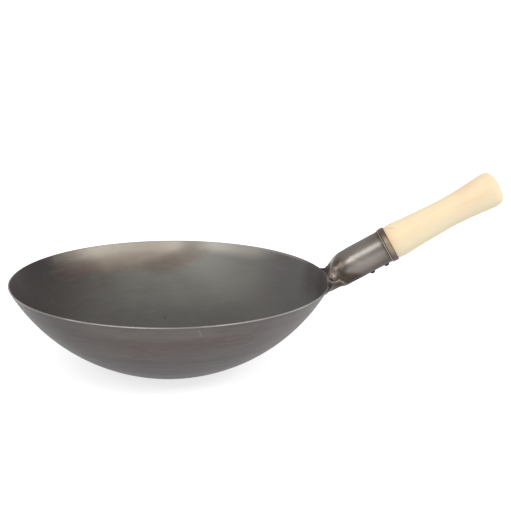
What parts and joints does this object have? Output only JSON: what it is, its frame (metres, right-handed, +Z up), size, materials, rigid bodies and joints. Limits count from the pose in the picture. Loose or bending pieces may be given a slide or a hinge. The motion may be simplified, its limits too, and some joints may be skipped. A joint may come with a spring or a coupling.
{
  "type": "carbon steel wok",
  "caption": "Round carbon steel wok with a small flat foot, a welded tubular handle socket and a turned wooden grip held by nails.",
  "frame": {"origin": "centre of the flat foot's underside, on the bowl's own axis", "axes": "+X from the bowl's axis toward the handle, +Z up, +Y completes a right-handed frame"},
  "size_m": [0.5437, 0.3558, 0.2213],
  "materials": {
    "bowl_steel": "dark heat-tinted steel with a soft satin sheen",
    "socket_steel": "satin steel with a brown and purple heat tint near the bowl",
    "ring_steel": "satin steel with a brown tint",
    "grip_wood": "pale smooth softwood with a thin clear coat",
    "nail_steel": "black oxide",
    "weld_steel": "ground weld metal"
  },
  "bodies": {
    "root": {"wok_bowl": "bowl_steel", "handle_socket": "socket_steel", "socket_ring": "ring_steel", "wood_grip": "grip_wood", "grip_nail_inner": "nail_steel", "grip_nail_outer": "nail_steel", "wall_weld": "weld_steel", "rim_weld": "weld_steel"}
  },
  "joints": []
}
